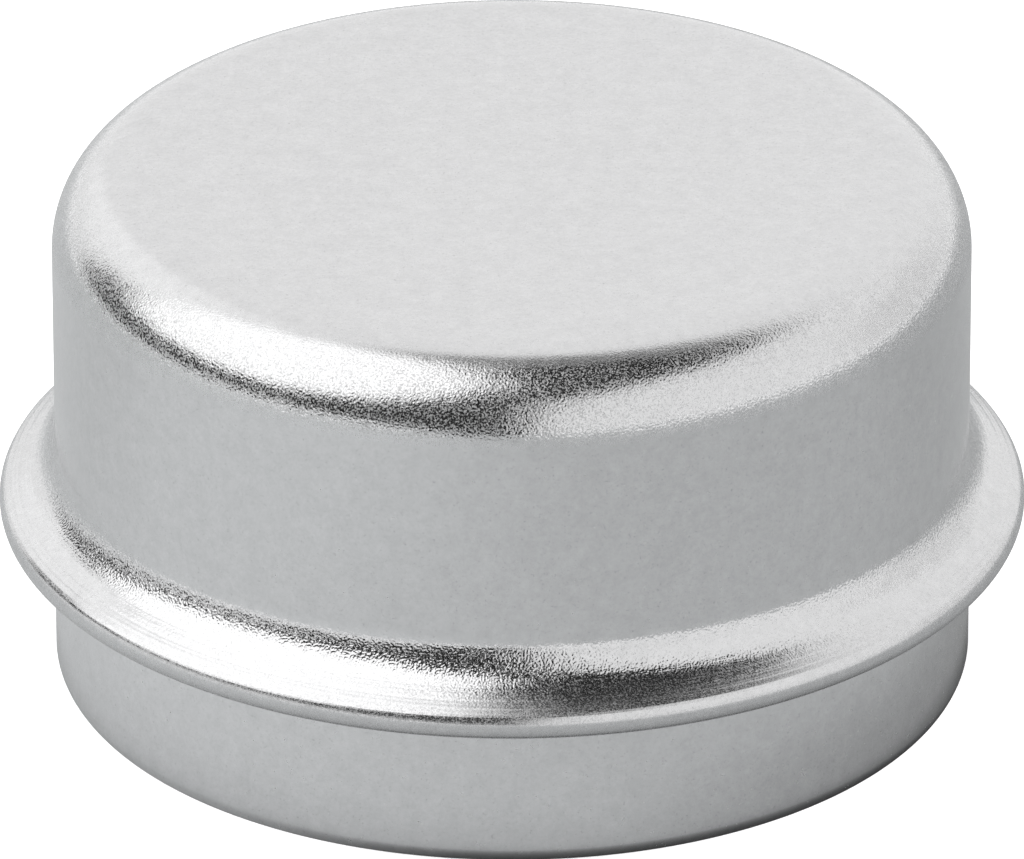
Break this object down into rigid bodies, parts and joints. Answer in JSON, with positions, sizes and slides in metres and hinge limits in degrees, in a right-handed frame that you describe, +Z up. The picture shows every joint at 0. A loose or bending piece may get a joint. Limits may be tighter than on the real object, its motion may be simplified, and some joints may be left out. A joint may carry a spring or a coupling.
{
  "type": "hub grease cap",
  "caption": "Pressed steel cap with a flat crown, a folded stop flange and a press-fit spigot that closes the end of a wheel hub and keeps its grease in.",
  "frame": {"origin": "centre of the cap's open end, in the plane of its foot", "axes": "+Z up the cap's axis of revolution, from the foot to the crown; X and Y are free"},
  "size_m": [0.062, 0.062, 0.0323],
  "materials": {
    "zinc_plate": "bright zinc plate over pressed sheet, satin on the flats and burnished with a fine orange peel on the drawn bends"
  },
  "bodies": {
    "root": {"grease_cap": "zinc_plate"}
  },
  "joints": []
}
